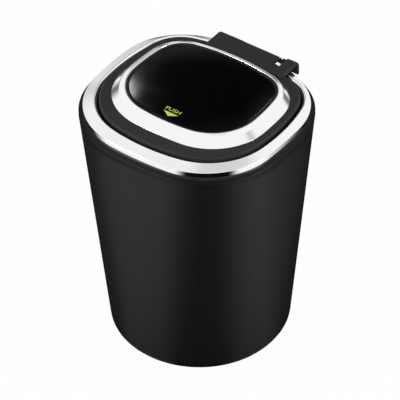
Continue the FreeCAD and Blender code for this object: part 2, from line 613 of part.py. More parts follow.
# On the left a web leaves the tab's edge below its top and slopes down, out of sight from the front.
# The spring's leg presses under it, and a strap goes on from it to the left eye.
SLOPE_TOP = f"({LEAF_TOP} - tab_hide)"
WEB_BACK = "(mouth_back + web_over)"
WEB_START = f"({WEB_BACK} + web_lead)"
WEB_FOOT = f"({LEAF_BOTTOM} - ({STRAP_FRONT} - {WEB_START}))"
web_line = sketch_on(plate, "web", "YZ_Plane", f"-{EYE_OUTER}")
add_polygon(web_line, [
    (SLIT_FRONT, LEAF_BOTTOM), (WEB_START, LEAF_BOTTOM), (STRAP_FRONT, WEB_FOOT),
    (f"{WEB_BACK} + {SLOPE_TOP} - {WEB_FOOT}", WEB_FOOT), (WEB_BACK, SLOPE_TOP), (SLIT_FRONT, SLOPE_TOP)])
pad(plate, web_line, "web_width")
left_line = box_sketch(plate, "left_strap", WEB_FOOT, f"-{EYE_OUTER}", f"-{EYE_INNER}",
                       STRAP_FRONT, STRAP_BACK)
pad(plate, left_line, f"{WEB_FOOT} - {STRAP_FOOT}", back=True)
eye_bore = side_disc(plate, "eye_bore", "0 * lug_inner", "pin_r + pin_gap")
pocket(plate, eye_bore, f"2 * {EYE_OUTER}", midplane=True)
bezel_ridge = between(named("window"), named("bezel"), "bezel_split")
RIDGE_Z = f"({BEZEL_TOP} - bezel_top_drop)"
seat_low = outline_sketch(plate, "seat_low", PLATE_TOP, inset(named("bezel"), "-bezel_clear"))
seat_high = outline_sketch(plate, "seat_high", RIDGE_Z, inset(bezel_ridge, "-bezel_clear"))
loft(plate, "bezel_seat", [seat_low, seat_high], cut=True)
STRIKER_X = "(blade_half + striker_pad)"
STRIKER_Y = "(blade_depth / 2 + striker_pad / 2)"
recess = box_sketch(plate, "recess", PLATE_BOTTOM, f"-{STRIKER_X}", STRIKER_X,
                    f"latch_y - {STRIKER_Y}", f"latch_y + {STRIKER_Y}")
pocket(plate, recess, "striker_thick", back=True)
bosses = sketch_on(plate, "bosses", "XY_Plane", PLATE_BOTTOM)
add_screw_holes(bosses, "screw_boss_r")
pad(plate, bosses, "plug_depth - plug_floor", back=True)
boss_bores = sketch_on(plate, "boss_bores", "XY_Plane", f"{PLUG_BOTTOM} + plug_floor")
add_screw_holes(boss_bores, "screw_r + screw_fit")
pocket(plate, boss_bores, "screw_grip", back=True)
nodes.append(plate)

# Latch striker: a blade on a pad let into the plate's underside
striker = body_of("latch_striker")
pad(striker, box_sketch(striker, "pad", PLATE_BOTTOM, f"-{STRIKER_X}", STRIKER_X,
                        f"latch_y - {STRIKER_Y}", f"latch_y + {STRIKER_Y}"), "striker_thick")
pad(striker, box_sketch(striker, "blade", PLATE_BOTTOM, "-blade_half", "blade_half",
                        "latch_y - blade_depth / 2", "latch_y + blade_depth / 2"), "blade_length", back=True)
nodes.append(striker)

# Lid bezel: chromed frame with a steep outer facet and a flatter one round the lens
bezel = body_of("lid_bezel")
base_line = outline_sketch(bezel, "base", PLATE_TOP, named("bezel"))
ridge_line = outline_sketch(bezel, "ridge", RIDGE_Z, bezel_ridge)
brow_line = outline_sketch(bezel, "brow", BEZEL_TOP, named("window"))
loft(bezel, "outer_facet", [base_line, ridge_line])
loft(bezel, "top_facet", [ridge_line, brow_line])
pocket(bezel, outline_sketch(bezel, "window", BEZEL_TOP, named("window")), "bezel_height")
nodes.append(bezel)

# Lens gasket: the thin dark line between the frame and the lens
gasket = body_of("lens_gasket")
gasket_skin = inset(named("window"), "gasket_gap")
lens_line = inset(gasket_skin, "gasket_width")
pad(gasket, outline_sketch(gasket, "ring", PLATE_TOP, gasket_skin, lens_line), "bezel_height - gasket_sink")
nodes.append(gasket)

# Lid lens: a gloss dome over the plate, cut from a thick blank by a large sphere
lens = body_of("lid_lens")
LENS_TOP = f"({BEZEL_TOP} + lens_crown)"
blank = outline_sketch(lens, "blank", PLATE_TOP, inset(lens_line, "gasket_gap"))
pad(lens, blank, "bezel_height + lens_crown")
dome = sketch_on(lens, "dome", "XZ_Plane", f"-{LENS_Y}")
dome_r = value("lens_dome_r")
dome_top = value(LENS_TOP)
dome_x = value("bezel_x")
dome_z = dome_top - dome_r + math.sqrt(dome_r ** 2 - dome_x ** 2)
lift = value("bezel_height")
corner_spots = [(0, dome_top), (dome_x, dome_z), (dome_x, dome_top + lift), (0, dome_top + lift)]
corners = [FreeCAD.Vector(across, along, 0) for across, along in corner_spots]
swing = math.asin(dome_x / dome_r)
dome_circle = Part.Circle(FreeCAD.Vector(0, dome_top - dome_r, 0), FreeCAD.Vector(0, 0, 1), dome_r)
dome.addGeometry(Part.ArcOfCircle(dome_circle, math.pi / 2 - swing, math.pi / 2), False)
for index in (1, 2, 3):
    dome.addGeometry(Part.LineSegment(corners[index], corners[(index + 1) % 4]), False)
dome.addConstraint(Sketcher.Constraint("Coincident", 0, 1, 1, 1))
dome.addConstraint(Sketcher.Constraint("Coincident", 1, 2, 2, 1))
dome.addConstraint(Sketcher.Constraint("Coincident", 2, 2, 3, 1))
dome.addConstraint(Sketcher.Constraint("Coincident", 3, 2, 0, 2))
dome.addConstraint(Sketcher.Constraint("Vertical", 1))
dome.addConstraint(Sketcher.Constraint("Horizontal", 2))
dome.addConstraint(Sketcher.Constraint("PointOnObject", 0, 3, -2))
dome.addConstraint(Sketcher.Constraint("PointOnObject", 0, 2, -2))
dome.addConstraint(Sketcher.Constraint("PointOnObject", 3, 1, -2))
bind(dome, f"Constraints[{dome.addConstraint(Sketcher.Constraint('Radius', 0, dome_r))}]", "lens_dome_r")
hold(dome, "DistanceY", ORIGIN, (0, 2), LENS_TOP)
hold(dome, "DistanceX", ORIGIN, (1, 1), "bezel_x")
hold(dome, "DistanceY", (0, 2), (3, 1), "bezel_height")
dome_cut = lens.newObject("PartDesign::Groove", "lid_lens_dome_cut")
dome_cut.Profile = dome
dome_cut.ReferenceAxis = (dome, ["V_Axis"])
dome_cut.Angle = 360
lens_foot = value(PLATE_TOP)
round_edges(lens, "edge", dome_cut, lambda edge: edge.BoundBox.ZMin > lens_foot + TOLERANCE, "lens_edge_r")
nodes.append(lens)

# Lid plug: a hollow moulding under the plate that closes the mouth
plug = body_of("lid_plug")
PLUG_IN = "trim_wall + plug_gap"
plug_line = inset(opening, PLUG_IN)
pad(plug, outline_sketch(plug, "block", PLUG_BOTTOM, plug_line), "plug_depth")
hollow = outline_sketch(plug, "hollow", PLATE_BOTTOM, inset(plug_line, "plug_wall"))
pocket(plug, hollow, "plug_depth - plug_floor")
PLUG_SEAL_TOP = f"({PLUG_BOTTOM} + plug_seal_rise + plug_seal_height)"
plug_seal_skin = inset(opening, "trim_wall + plug_seal_out")
plug_seal_root = inset(plug_line, "plug_seal_in")
plug_groove = outline_sketch(plug, "groove", PLUG_SEAL_TOP, inset(plug_line, "-plug_gap"), plug_seal_root)
pocket(plug, plug_groove, "plug_seal_height")
plug_holes = sketch_on(plug, "holes", "XY_Plane", f"{PLUG_BOTTOM} + plug_floor")
add_screw_holes(plug_holes, "screw_r + screw_fit")
pocket(plug, plug_holes, "plug_floor")
nodes.append(plug)

# Lid seal: a silicone band round the plug
lid_seal = body_of("lid_seal")
pad(lid_seal, outline_sketch(lid_seal, "band", PLUG_SEAL_TOP, plug_seal_skin, plug_seal_root),
    "plug_seal_height", back=True)
nodes.append(lid_seal)

# Heat shield: a steel sheet under the plug
shield = body_of("heat_shield")
sheet_line = outline_sketch(shield, "sheet", PLUG_BOTTOM, inset(plug_line, "shield_inset"))
pad(shield, sheet_line, "shield_thick", back=True)
shield_holes = sketch_on(shield, "holes", "XY_Plane", PLUG_BOTTOM)
add_screw_holes(shield_holes, "screw_r + screw_fit")
pocket(shield, shield_holes, "shield_thick")
nodes.append(shield)

# Lid screws: four, through shield and plug into the plate's bosses
nodes.append(screw_group("lid_screws", screw_places(), "screw_r", "shield_thick + plug_floor + screw_grip",
                         "screw_head_r", "screw_head", f"{PLUG_BOTTOM} - shield_thick"))

doc.recompute()
for item in doc.Objects:
    if {"Invalid", "Error"} & set(item.State):
        raise RuntimeError(f"{item.Label} failed: {item.State}")
for node in nodes:
    if not node.Shape.isValid() or not node.Shape.Solids:
        raise RuntimeError(f"{node.Label} is not a valid solid")

os.makedirs("parts", exist_ok=True)
for node in nodes:
    node.Shape.exportStep(f"parts/{node.Label}.step")
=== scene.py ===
import math
import bmesh
import bpy
import numpy as np
from mathutils import Matrix, Vector


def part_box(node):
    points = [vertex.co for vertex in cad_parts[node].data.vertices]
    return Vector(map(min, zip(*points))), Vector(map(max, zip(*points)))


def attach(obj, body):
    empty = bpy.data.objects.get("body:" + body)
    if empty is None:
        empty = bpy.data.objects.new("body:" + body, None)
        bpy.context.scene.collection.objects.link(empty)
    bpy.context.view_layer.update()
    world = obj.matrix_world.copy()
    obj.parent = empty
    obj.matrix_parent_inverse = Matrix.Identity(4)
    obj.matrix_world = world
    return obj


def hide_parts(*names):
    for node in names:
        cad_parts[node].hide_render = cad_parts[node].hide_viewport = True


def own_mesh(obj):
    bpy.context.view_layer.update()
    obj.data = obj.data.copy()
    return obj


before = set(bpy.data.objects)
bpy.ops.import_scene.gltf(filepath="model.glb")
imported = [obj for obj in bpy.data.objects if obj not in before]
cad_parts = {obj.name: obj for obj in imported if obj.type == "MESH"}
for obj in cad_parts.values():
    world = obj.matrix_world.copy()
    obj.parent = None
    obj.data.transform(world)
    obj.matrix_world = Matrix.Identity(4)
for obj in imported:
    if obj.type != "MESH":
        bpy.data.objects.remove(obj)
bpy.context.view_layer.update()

# Car ashtray for a cup holder: a tapered black cup, a chromed rim ring, and a push lid with a chromed frame
# and a gloss lens. Front towards -Y, hinge towards +Y, sizes in metres.

# Cup shell.
# A matte black moulding, nearly round at its foot and a soft square at its rim, with a quarter-round foot
# edge. It is moulded in one shot with a fine spark-eroded grain on its outside.
MM = 0.001
cup_low, cup_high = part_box("cup_shell")
FOOT = np.array([33.7, 34.0, 34.0, 35.6, 35.6, 33.4, 33.4]) * MM
RIM = np.array([cup_high.x, -cup_low.y, cup_high.y, 138 * MM, 59 * MM, 32.2 * MM, 28.4 * MM])
CUP_WALL = 2.0 * MM
CUP_FLOOR = 3.2 * MM
FOOT_ROUND = 6.0 * MM
RIM_ROUND = 0.35 * MM
ARC_STEPS = 28


def crossing(centre_a, reach_a, centre_b, reach_b, upper):
    """Where circles about two rows of centres cross: along the line between the centres, then square to it."""
    gap = centre_b - centre_a
    length = np.linalg.norm(gap, axis=1)
    along = (reach_a ** 2 - reach_b ** 2 + length ** 2) / (2 * length)
    across = np.sqrt(np.maximum(reach_a ** 2 - along ** 2, 0))
    unit = gap / length[:, None]
    turned = np.stack([-unit[:, 1], unit[:, 0]], 1)
    spots = [centre_a + unit * along[:, None] + turned * (across * sign)[:, None] for sign in (1, -1)]
    first_is_higher = spots[0][:, 1] > spots[1][:, 1]
    pick = first_is_higher if upper else ~first_is_higher
    return np.where(pick[:, None], spots[0], spots[1])


def soft_square(sizes):
    """Outlines of eight tangent arcs, one row of points for each row of sizes.

    A side is an arc about a centre on an axis. A corner's centre lies where circles about two side centres
    cross, each as wide as the side's radius less the corner's, so the corner touches both sides.
    """
    half, front, back, side, rear, fore_corner, back_corner = np.asarray(sizes, float).T
    zero = np.zeros_like(half)
    right = np.stack([half - side, zero], 1)
    behind = np.stack([zero, back - rear], 1)
    ahead = np.stack([zero, side - front], 1)
    upper = crossing(right, side - back_corner, behind, rear - back_corner, True)
    lower = crossing(right, side - fore_corner, ahead, side - fore_corner, False)

    def turn(centre, spot):
        return np.arctan2(spot[:, 1] - centre[:, 1], spot[:, 0] - centre[:, 0])

    mirror = np.array([-1.0, 1.0])
    low_right, up_right, up_back, low_front = (
        turn(right, lower), turn(right, upper), turn(behind, upper), turn(ahead, lower))
    turns = np.stack([low_right, up_right, up_back, np.pi - up_back, np.pi - up_right, np.pi - low_right,
                      np.pi - low_front, 2 * np.pi + low_front, 2 * np.pi + low_right], 1)
    centres = np.stack([right, upper, behind, upper * mirror, right * mirror, lower * mirror, ahead, lower], 1)
    radii = np.stack([side, back_corner, rear, back_corner, side, fore_corner, side, fore_corner], 1)
    share = np.arange(ARC_STEPS) / ARC_STEPS
    angle = turns[:, :-1, None] + (turns[:, 1:] - turns[:, :-1])[:, :, None] * share
    x = centres[:, :, 0, None] + radii[:, :, None] * np.cos(angle)
    y = centres[:, :, 1, None] + radii[:, :, None] * np.sin(angle)
    return np.stack([x, y], -1).reshape(len(half), -1, 2)


def rings(sizes, heights):
    """Level outlines, each at its own height: grid[row, step] = (outline x, outline y, height)."""
    flat = soft_square(sizes)
    level = np.broadcast_to(np.asarray(heights, float)[:, None, None], flat.shape[:2] + (1,))
    return np.concatenate([flat, level], -1)


def shrink(grid_row, centre, shares):
    """A flat outline drawn in towards its centre, once for each share of its size."""
    shares = np.asarray(shares, float)[:, None, None]
    return centre + (grid_row - centre) * shares


def skin(name, grid, closed_section):
    """Quads between neighbouring rows of a grid whose columns run round the object.

    Rows that shrink to a point are merged there. A closed section joins the last row to the first.
    """
    count, steps = grid.shape[:2]
    row = np.arange(count if closed_section else count - 1)[:, None]
    column = np.arange(steps)[None, :]
    after_row, after_column = (row + 1) % count, (column + 1) % steps
    corners = [row * steps + column, row * steps + after_column,
               after_row * steps + after_column, after_row * steps + column]
    faces = np.stack(corners, -1).reshape(-1, 4)
    mesh = bpy.data.meshes.new(name)
    mesh.from_pydata(grid.reshape(-1, 3), [], faces)
    work = bmesh.new()
    work.from_mesh(mesh)
    bmesh.ops.remove_doubles(work, verts=work.verts, dist=1e-7)
    work.to_mesh(mesh)
    work.free()
    mesh.polygons.foreach_set("use_smooth", np.ones(len(mesh.polygons), bool))
    piece = bpy.data.objects.new(name, mesh)
    bpy.context.scene.collection.objects.link(piece)
    return piece


def quarter(steps):
    """Sine and cosine over a quarter turn."""
    turn = np.linspace(0, np.pi / 2, steps)
    return np.sin(turn), np.cos(turn)


def cup_at(height):
    """The cup's outer outline at some heights: foot and rim mixed by height over the rim's height."""
    share = np.atleast_1d(height)[:, None] / cup_high.z
    return FOOT + (RIM - FOOT) * share


def cup_grid():
    """Section of the cup: middle of the foot, out, round the foot edge, up, over the rim, down, and in."""
    middle = np.zeros(3)
    sine, cosine = quarter(9)
    foot_z = FOOT_ROUND * (1 - cosine)
    foot = rings(cup_at(foot_z) - (FOOT_ROUND * (1 - sine))[:, None], foot_z)
    wall_z = np.linspace(FOOT_ROUND, cup_high.z - RIM_ROUND, 26)[1:]
    wall = rings(cup_at(wall_z), wall_z)
    lip = rings(RIM - (RIM_ROUND * (1 - cosine))[:, None], cup_high.z - RIM_ROUND * (1 - sine))
    bore_z = np.array([cup_high.z, cup_high.z - RIM_ROUND, 0.5 * cup_high.z, CUP_FLOOR])
    bore = rings(cup_at(bore_z) - CUP_WALL, bore_z)
    base = shrink(foot[0], middle, [0, 0.4, 0.8, 0.97])
    floor = shrink(bore[-1], np.array([0, 0, CUP_FLOOR]), [0.97, 0.5, 0])
    return np.concatenate([base, foot, wall, lip, bore, floor])


def new_material(name, colour, roughness, metallic=0.0, specular=0.5):
    """A Principled material with plain values on its own sockets."""
    material = bpy.data.materials.new(name)
    material.use_nodes = True
    shader = material.node_tree.nodes["Principled BSDF"]
    shader.inputs["Base Color"].default_value = (*colour, 1)
    shader.inputs["Roughness"].default_value = roughness
    shader.inputs["Metallic"].default_value = metallic
    shader.inputs["Specular IOR Level"].default_value = specular
    return material, material.node_tree, shader


def grain_group():
    """Moulded grain: fine noise for height, and two scales of noise that shift roughness about a middle."""
    group = bpy.data.node_groups.new("moulded_grain", "ShaderNodeTree")
    face = group.interface
    face.new_socket("Grain Size", in_out="INPUT", socket_type="NodeSocketFloat")
    face.new_socket("Roughness", in_out="INPUT", socket_type="NodeSocketFloat")
    face.new_socket("Spread", in_out="INPUT", socket_type="NodeSocketFloat")
    face.new_socket("Height", in_out="OUTPUT", socket_type="NodeSocketFloat")
    face.new_socket("Roughness", in_out="OUTPUT", socket_type="NodeSocketFloat")
    nodes, links = group.nodes, group.links
    inside = nodes.new("NodeGroupInput")
    outside = nodes.new("NodeGroupOutput")
    place = nodes.new("ShaderNodeTexCoord")
    fine = nodes.new("ShaderNodeTexNoise")
    fine.inputs["Detail"].default_value = 3
    broad = nodes.new("ShaderNodeTexNoise")
    broad.inputs["Scale"].default_value = 60
    broad.inputs["Detail"].default_value = 4
    count = nodes.new("ShaderNodeMath")
    count.operation = "DIVIDE"
    count.inputs[0].default_value = 1
    both = nodes.new("ShaderNodeMath")
    both.operation = "ADD"
    centred = nodes.new("ShaderNodeMath")
    centred.operation = "SUBTRACT"
    centred.inputs[1].default_value = 1
    shifted = nodes.new("ShaderNodeMath")
    shifted.operation = "MULTIPLY_ADD"
    links.new(inside.outputs["Grain Size"], count.inputs[1])
    links.new(count.outputs[0], fine.inputs["Scale"])
    links.new(place.outputs["Object"], fine.inputs["Vector"])
    links.new(place.outputs["Object"], broad.inputs["Vector"])
    links.new(fine.outputs["Fac"], both.inputs[0])
    links.new(broad.outputs["Fac"], both.inputs[1])
    links.new(both.outputs[0], centred.inputs[0])
    links.new(centred.outputs[0], shifted.inputs[0])
    links.new(inside.outputs["Spread"], shifted.inputs[1])
    links.new(inside.outputs["Roughness"], shifted.inputs[2])
    links.new(fine.outputs["Fac"], outside.inputs["Height"])
    links.new(shifted.outputs[0], outside.inputs["Roughness"])
    return group


moulded_grain = grain_group()


def moulded_plastic(name, colour, roughness, spread, grain_size, depth, specular):
    """A moulded plastic whose grain gives both its roughness and a shallow bump."""
    material, tree, shader = new_material(name, colour, roughness, specular=specular)
    grain = tree.nodes.new("ShaderNodeGroup")
    grain.node_tree = moulded_grain
    grain.inputs["Grain Size"].default_value = grain_size
    grain.inputs["Roughness"].default_value = roughness
    grain.inputs["Spread"].default_value = spread
    bump = tree.nodes.new("ShaderNodeBump")
    bump.inputs["Strength"].default_value = 1
    bump.inputs["Distance"].default_value = depth
    tree.links.new(grain.outputs["Height"], bump.inputs["Height"])
    tree.links.new(grain.outputs["Roughness"], shader.inputs["Roughness"])
    tree.links.new(bump.outputs["Normal"], shader.inputs["Normal"])
    return material


def finish_node(node, material):
    """Give a CAD node's own object a better material."""
    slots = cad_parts[node].data.materials
    slots.clear()
    slots.append(material)


cup_black = moulded_plastic("cup_black", (0.004, 0.004, 0.0042), 0.5, 0.1, 0.35 * MM, 0.006 * MM, 0.24)
cup = skin("cup_shell_moulding", cup_grid(), closed_section=False)
cup.data.materials.append(cup_black)
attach(cup, "cup")
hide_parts("cup_shell")

# Ash liner.
# A tub of thin drawn steel with a rolled lip that stands on the cup's floor and lifts out for emptying.


def brushed_steel(name, colour, roughness, stretch):
    """Steel with fine marks drawn out along one direction, by noise squeezed across it."""
    material, tree, shader = new_material(name, colour, roughness, metallic=1.0)
    place = tree.nodes.new("ShaderNodeTexCoord")
    squeeze = tree.nodes.new("ShaderNodeMapping")
    squeeze.inputs["Scale"].default_value = stretch
    marks = tree.nodes.new("ShaderNodeTexNoise")
    marks.inputs["Scale"].default_value = 100
    marks.inputs["Detail"].default_value = 3
    spread = tree.nodes.new("ShaderNodeMapRange")
    spread.inputs["To Min"].default_value = roughness - 0.08
    spread.inputs["To Max"].default_value = roughness + 0.12
    bump = tree.nodes.new("ShaderNodeBump")
    bump.inputs["Distance"].default_value = 0.004 * MM
    tree.links.new(place.outputs["Object"], squeeze.inputs["Vector"])
    tree.links.new(squeeze.outputs["Vector"], marks.inputs["Vector"])
    tree.links.new(marks.outputs["Fac"], spread.inputs["Value"])
    tree.links.new(spread.outputs["Result"], shader.inputs["Roughness"])
    tree.links.new(marks.outputs["Fac"], bump.inputs["Height"])
    tree.links.new(bump.outputs["Normal"], shader.inputs["Normal"])
    return material


liner_steel = brushed_steel("liner_steel", (0.56, 0.55, 0.53), 0.34, (4, 4, 40))
finish_node("ash_liner", liner_steel)

# Collar and its seal.
# The collar is a black moulding that plugs into the cup: a flange on the cup's rim, a skirt inside it, a deck
# with the ash opening, and two hinge lugs at the back. A silicone band sits in the skirt's groove.
collar_black = moulded_plastic("collar_black", (0.005, 0.005, 0.0052), 0.55, 0.1, 0.4 * MM, 0.008 * MM, 0.12)
finish_node("collar", collar_black)
seal_grey = moulded_plastic("seal_grey", (0.018, 0.018, 0.018), 0.7, 0.1, 0.6 * MM, 0.01 * MM, 0.2)
finish_node("collar_seal", seal_grey)

# Rim ring.
# Bright chrome on moulded plastic: a slightly drafted wall, a top that falls outwards, and a bevelled mouth
# that the lid drops into. It is nearly even in width all round, and is pressed onto the collar.
ring_low, ring_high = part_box("rim_ring")
RING_FOOT = RIM - 1.1 * MM
RING_EDGE = RING_FOOT - 0.5 * MM
MOUTH = np.array([36.3, 33.2, 32.8, 77.0, 86.0, 25.8, 16.6]) * MM
RING_SLOPE = 1.0 * MM
RING_BEVEL = 1.0 * MM
RING_ROUND = 0.2 * MM
BROW_INSET = np.array([-0.30, -0.27, -0.12, 0.02, 0.14, 0.17]) * MM
BROW_FALL = np.array([0.030, 0.025, 0.035, 0.085, 0.175, 0.205]) * MM
BEVEL_OUT = np.array([0.12, 0.09, 0, 0]) * MM
BEVEL_RISE = np.array([0.15, 0.12, -0.06, -0.2]) * MM
HOLD = 0.03 * MM


def ring_grid():
    """Section of the ring: up the wall, round its edge, across the falling top, down the bevel and the bore."""
    sine, cosine = quarter(6)
    edge_z = ring_high.z - RING_SLOPE
    wall = rings([RING_FOOT, RING_FOOT, RING_EDGE, RING_EDGE],
                 [ring_low.z, ring_low.z + HOLD, edge_z - RING_ROUND - HOLD, edge_z - RING_ROUND])
    edge = rings(RING_EDGE - (RING_ROUND * (1 - cosine))[:, None], edge_z - RING_ROUND * (1 - sine))
    crest = MOUTH + RING_BEVEL
    brow = rings(crest - BROW_INSET[:, None], ring_high.z - BROW_FALL)
    bevel = rings(MOUTH + BEVEL_OUT[:, None], ring_high.z - RING_BEVEL + BEVEL_RISE)
    bore = rings([MOUTH, MOUTH], [ring_low.z + HOLD, ring_low.z])
    return np.concatenate([wall, edge[1:], brow, bevel, bore])


def bright_chrome(name, roughness):
    """Plated chrome, a little cloudier in places by broad noise."""
    material, tree, shader = new_material(name, (0.905, 0.908, 0.912), roughness, metallic=1.0)
    place = tree.nodes.new("ShaderNodeTexCoord")
    cloud = tree.nodes.new("ShaderNodeTexNoise")
    cloud.inputs["Scale"].default_value = 90
    cloud.inputs["Detail"].default_value = 3
    spread = tree.nodes.new("ShaderNodeMapRange")
    spread.inputs["To Min"].default_value = roughness - 0.025
    spread.inputs["To Max"].default_value = roughness + 0.035
    tree.links.new(place.outputs["Object"], cloud.inputs["Vector"])
    tree.links.new(cloud.outputs["Fac"], spread.inputs["Value"])
    tree.links.new(spread.outputs["Result"], shader.inputs["Roughness"])
    return material


chrome = bright_chrome("bright_chrome", 0.1)
rim_ring = skin("rim_ring_chrome", ring_grid(), closed_section=True)
rim_ring.data.materials.append(chrome)
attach(rim_ring, "collar")
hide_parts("rim_ring")

# Mouth trim, latch and hinge hardware.
# The mouth trim is folded steel sheet. The latch's housing and fork are black mouldings held by two screws,
# with a wire spring below the fork that shortens as the fork goes down. The hinge has a pin and a torsion
# spring of blackened steel.
finish_node("mouth_trim", liner_steel)
latch_black = moulded_plastic("latch_black", (0.02, 0.02, 0.02), 0.45, 0.1, 0.5 * MM, 0.008 * MM, 0.4)
for node in ("latch_housing", "latch_slider", "latch_striker", "lid_plug"):
    finish_node(node, latch_black)
drawn_wire = brushed_steel("drawn_wire", (0.5, 0.5, 0.5), 0.28, (40, 4, 4))
for node in ("latch_screws", "lid_screws"):
    finish_node(node, drawn_wire)
spring_low, spring_high = (Vector(corner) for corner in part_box("latch_spring"))
SPRING_TURNS = 4
SPRING_STEPS = 161
WIRE_HALF = 0.25 * MM
WIRE_STEPS = 12


def spring_grid():
    """Rings of round wire along a helix that fills the node's box, closed to a point at both ends.

    Each ring lies in the plane square to the helix, between the way out from its axis and the way up.
    """
    middle, half = (spring_low + spring_high) / 2, (spring_high.x - spring_low.x) / 2 - WIRE_HALF
    turn = np.linspace(0, 2 * np.pi * SPRING_TURNS, SPRING_STEPS)
    rise = np.linspace(spring_low.z + WIRE_HALF, spring_high.z - WIRE_HALF, len(turn))
    out = np.stack([np.cos(turn), np.sin(turn), 0 * turn], -1)
    core = np.array([middle.x, middle.y, 0]) + half * out + np.stack([0 * turn, 0 * turn, rise], -1)
    along = np.gradient(core, axis=0)
    up = np.cross(out, along / np.linalg.norm(along, axis=1, keepdims=True))
    around = np.linspace(0, 2 * np.pi, WIRE_STEPS, endpoint=False)[None, :, None]
    tube = core[:, None] + WIRE_HALF * (np.cos(around) * out[:, None] + np.sin(around) * up[:, None])
    foot, head = (np.repeat(core[end][None, None], WIRE_STEPS, axis=1) for end in (0, -1))
    return np.concatenate([foot, tube, head])


spring = skin("latch_spring_wire", spring_grid(), closed_section=False)
spring.data.materials.append(drawn_wire)
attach(spring, "collar")
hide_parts("latch_spring")
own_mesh(spring)

hinge_black = brushed_steel("hinge_black", (0.02, 0.02, 0.021), 0.42, (40, 4, 4))
for node in ("hinge_pin", "hinge_spring"):
    finish_node(node, hinge_black)

# Lid plate.
# A dark grey satin moulding: the lid's slab, and at the back the hinge leaf, a wide tab and a narrow arm with
# a slit between them, which pass over the ring and turn down to the pin.
lid_grey = moulded_plastic("lid_grey", (0.028, 0.028, 0.0285), 0.55, 0.1, 0.45 * MM, 0.006 * MM, 0.15)
finish_node("lid_plate", lid_grey)

# Lid bezel.
# A chromed frame on the plate: a steep facet outside and a flatter one round the lens, with a soft ridge.
bezel_low, bezel_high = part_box("lid_bezel")
BEZEL = np.array([32.9, 26.6, 28.9, 122.0, 87.0, 24.0, 19.6]) * MM
WINDOW = np.array([27.7, 21.4, 24.3, 76.0, 90.0, 19.2, 12.0]) * MM
RIDGE_SHARE = 0.43
RIDGE_DROP = 0.78 * MM
RIDGE_SOFT = 0.07
BROW_ROUND = 0.3 * MM
BROW_SHARE = 0.06


def bezel_height(share):
    """Height over the way from window to foot: two straight falls, joined by a parabola about the ridge."""
    top, ridge, foot = bezel_high.z, bezel_high.z - RIDGE_DROP, bezel_low.z
    inner = (ridge - top) / RIDGE_SHARE
    outer = (foot - ridge) / (1 - RIDGE_SHARE)
    past = np.clip((share - RIDGE_SHARE + RIDGE_SOFT) / (2 * RIDGE_SOFT), 0, 1)
    bend = RIDGE_SOFT * past ** 2 + np.maximum(share - RIDGE_SHARE - RIDGE_SOFT, 0)
    return top + inner * share + (outer - inner) * bend


def bezel_grid():
    """Section of the frame: up the outer facet, over the ridge, up the inner facet, round the brow, down."""
    share = np.concatenate([[1.0, 0.99], np.linspace(RIDGE_SHARE + RIDGE_SOFT, RIDGE_SHARE - RIDGE_SOFT, 9),
                            [0.09]])
    facets = rings(WINDOW + (BEZEL - WINDOW) * share[:, None], bezel_height(share))
    sine, cosine = quarter(6)
    start_z = bezel_height(np.array([BROW_SHARE]))[0]
    brow = rings(WINDOW + (BROW_ROUND * (1 - sine))[:, None], start_z - BROW_ROUND * (1 - cosine))
    bore = rings([WINDOW, WINDOW, WINDOW], [start_z - BROW_ROUND - HOLD, bezel_low.z + HOLD, bezel_low.z])
    return np.concatenate([facets, brow, bore])


bezel = skin("lid_bezel_chrome", bezel_grid(), closed_section=True)
bezel.data.materials.append(chrome)
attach(bezel, "lid")
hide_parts("lid_bezel")

# Lens gasket and lens.
# The lens is a gloss black dome, moulded and tinted through. A thin dull gasket closes the line between it
# and the frame.
finish_node("lens_gasket", seal_grey)
lens_low, lens_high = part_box("lid_lens")
LENS = WINDOW - 1.0 * MM
LENS_RADIUS = 220 * MM
LENS_ROUND = 0.5 * MM
LENS_POWER = 2
LENS_SIDE_POWER = 3.2
lens_middle = np.array([0, (lens_low.y + lens_high.y) / 2, 0])
lens_edge = rings([LENS - LENS_ROUND], [0.0])[0] - lens_middle
edge_turn = np.arctan2(lens_edge[:, 1], lens_edge[:, 0])
edge_order = np.argsort(edge_turn)
edge_reach = np.hypot(lens_edge[:, 0], lens_edge[:, 1])


def lens_top(spots):
    """Height of the lens: its top less the edge's sag times (share of the way out) to a power.

    The sag is a large sphere's, radius - sqrt(radius^2 - reach^2). The power is 2 to the front and back, as on
    the sphere, and rises with cos^2 of the turn to the sides, where the lens is flatter in the middle and turns
    down near its edge.
    """
    away = spots[..., :2] - lens_middle[:2]
    turn = np.arctan2(away[..., 1], away[..., 0])
    reach = np.interp(turn, edge_turn[edge_order], edge_reach[edge_order], period=2 * np.pi)
    share = np.hypot(away[..., 0], away[..., 1]) / reach
    sag = LENS_RADIUS - np.sqrt(LENS_RADIUS ** 2 - reach ** 2)
    power = LENS_POWER + (LENS_SIDE_POWER - LENS_POWER) * np.cos(turn) ** 2
    return lens_high.z - sag * share ** power


def lens_grid():
    """Section of the lens: middle of its underside, out, up the side, round the edge, and over the top."""
    sine, cosine = quarter(6)
    foot = rings([LENS], [lens_low.z])
    side = rings(LENS - (LENS_ROUND * (1 - cosine))[:, None], np.zeros(len(sine)))
    side[..., 2] = lens_top(side[-1]) - (LENS_ROUND * (1 - sine))[:, None]
    wall = side[:1].copy()
    wall[..., 2] -= HOLD
    top = shrink(side[-1], lens_middle, np.linspace(0.99, 0, 48))
    top[..., 2] = lens_top(top)
    base = shrink(foot[0], np.append(lens_middle[:2], lens_low.z), [0, 0.5, 0.98])
    return np.concatenate([base, foot, wall, side, top])


